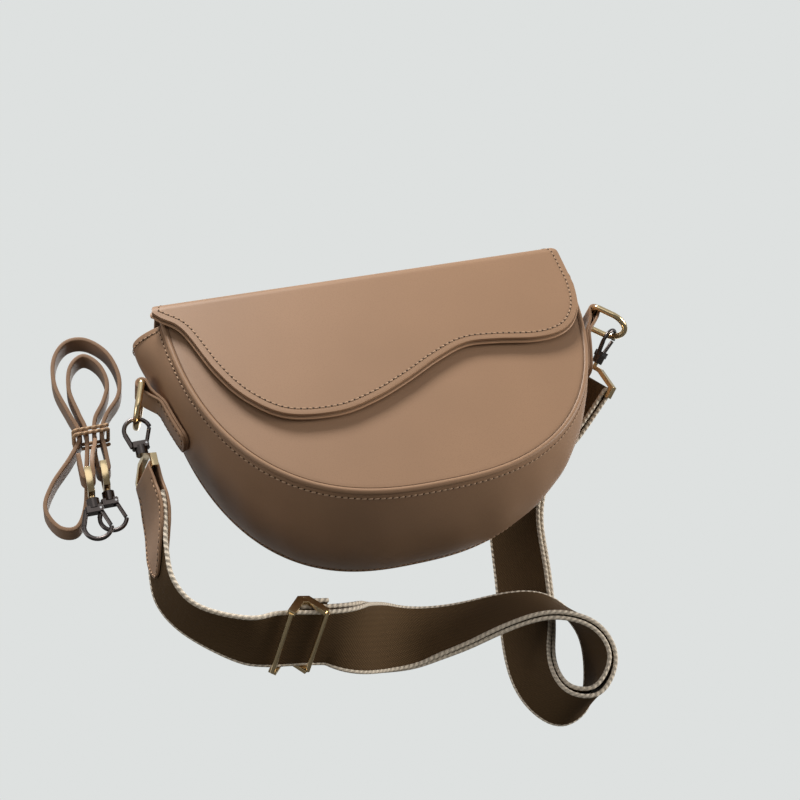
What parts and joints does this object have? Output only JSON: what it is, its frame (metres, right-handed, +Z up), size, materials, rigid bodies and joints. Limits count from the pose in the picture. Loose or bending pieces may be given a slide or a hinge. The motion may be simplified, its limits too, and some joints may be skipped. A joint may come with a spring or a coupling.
{
  "type": "saddle handbag",
  "caption": "Saddle handbag with a rounded leather body, a drop-front flap cut in a wave, ringed side tabs, a webbing strap on swivel hooks and a tied spare strap.",
  "frame": {"origin": "the lowest point of the gusset under the middle of the bag, where the hand holds it up", "axes": "+X across the bag to its right as seen from the front, +Y from the flap's side to the back, +Z up out of the mouth"},
  "size_m": [0.3538, 0.1448, 0.2617],
  "materials": {
    "leather": "smooth, slightly waxed brown leather",
    "piping": "leather folded round a cord",
    "lining": "dark woven cloth",
    "board": "hidden stiffening board",
    "gold": "polished pale gold plating",
    "gunmetal": "polished dark nickel",
    "steel": "plain steel",
    "webbing": "dark woven webbing with twisted cream edge cords",
    "string": "twisted cotton string"
  },
  "bodies": {
    "body": {"front_panel": "leather", "back_panel": "leather", "gusset": "leather", "piping_front": "steel", "piping_back": "steel", "front_board": "board", "magnet_front": "steel", "lining_front": "lining", "lining_back": "lining", "lining_gusset": "lining", "facing_front": "leather", "facing_back": "leather", "fold_lining": "leather", "inner_pocket": "lining", "tab_left": "leather", "tab_right": "leather", "eye_left": "gold", "eye_right": "gold", "eye_spare_a": "gold", "eye_spare_b": "gold", "strap_end": "leather", "webbing_main": "webbing", "webbing_return": "webbing", "slider_frame": "gold", "slider_bar": "gold", "spare_strap": "leather", "spare_tie": "string"},
    "flap_top": {"flap_top_skin": "leather", "flap_top_board": "board", "flap_top_lining": "leather"},
    "flap_leaf": {"flap_skin": "leather", "flap_board": "board", "magnet_flap": "steel", "flap_lining": "leather"},
    "ring_left": {"ring_left": "gold"},
    "ring_right": {"ring_right": "gold"},
    "hook_left": {"hook_left": "gunmetal", "gate_pin_left": "steel"},
    "gate_left": {"gate_left": "gunmetal"},
    "hook_right": {"hook_right": "gunmetal", "gate_pin_right": "steel"},
    "gate_right": {"gate_right": "gunmetal"},
    "hook_spare_a": {"hook_spare_a": "gunmetal", "gate_pin_spare_a": "steel"},
    "gate_spare_a": {"gate_spare_a": "gunmetal"},
    "hook_spare_b": {"hook_spare_b": "gunmetal", "gate_pin_spare_b": "steel"},
    "gate_spare_b": {"gate_spare_b": "gunmetal"}
  },
  "joints": [
    {"name": "flap_hinge", "type": "hinge", "parent": "body", "child": "flap_top", "pos_m": [0, 0.01708, 0.15678], "axis": [-1, 0, 0], "range_deg": [0, 165]},
    {"name": "flap_bend", "type": "hinge", "parent": "flap_top", "child": "flap_leaf", "pos_m": [0, -0.02332, 0.15632], "axis": [-1, 0, 0], "range_deg": [0, 83]},
    {"name": "ring_left_swing", "type": "hinge", "parent": "body", "child": "ring_left", "pos_m": [-0.13608, 0, 0.1185], "axis": [0, 1, 0], "range_deg": [-5, 3]},
    {"name": "ring_right_swing", "type": "hinge", "parent": "body", "child": "ring_right", "pos_m": [0.13608, 0, 0.1185], "axis": [0, 1, 0], "range_deg": [-1.2, 11]},
    {"name": "hook_left_swivel", "type": "hinge", "parent": "body", "child": "hook_left", "pos_m": [-0.14324, 0, 0.08475], "axis": [0, 0, 1], "range_deg": [-30, 30]},
    {"name": "hook_right_swivel", "type": "hinge", "parent": "body", "child": "hook_right", "pos_m": [0.14172, 0.0173, 0.10025], "axis": [0.5401, -0.6001, 0.5901], "range_deg": [-30, 30]},
    {"name": "hook_spare_a_swivel", "type": "hinge", "parent": "body", "child": "hook_spare_a", "pos_m": [-0.16425, 0.012, 0.0615], "axis": [0, 0, -1], "range_deg": [-35, 35]},
    {"name": "hook_spare_b_swivel", "type": "hinge", "parent": "body", "child": "hook_spare_b", "pos_m": [-0.174, -0.005, 0.0515], "axis": [0, 0, -1], "range_deg": [-35, 35]},
    {"name": "gate_left_open", "type": "hinge", "parent": "hook_left", "child": "gate_left", "pos_m": [-0.14004, 0, 0.08545], "axis": [0, -1, 0], "range_deg": [0, 18], "stiffness_Nm_per_rad": 0.002},
    {"name": "gate_right_open", "type": "hinge", "parent": "hook_right", "child": "gate_right", "pos_m": [0.14423, 0.01922, 0.1011], "axis": [0.514, -0.32, -0.7959], "range_deg": [0, 18], "stiffness_Nm_per_rad": 0.002},
    {"name": "gate_spare_a_open", "type": "hinge", "parent": "hook_spare_a", "child": "gate_spare_a", "pos_m": [-0.16105, 0.012, 0.0608], "axis": [0, 1, 0], "range_deg": [0, 18], "stiffness_Nm_per_rad": 0.002},
    {"name": "gate_spare_b_open", "type": "hinge", "parent": "hook_spare_b", "child": "gate_spare_b", "pos_m": [-0.1708, -0.005, 0.0508], "axis": [0, 1, 0], "range_deg": [0, 18], "stiffness_Nm_per_rad": 0.002}
  ],
  "couplings": [
    {"joint": "flap_bend", "follows": "flap_hinge", "ratio": 0.5}
  ]
}
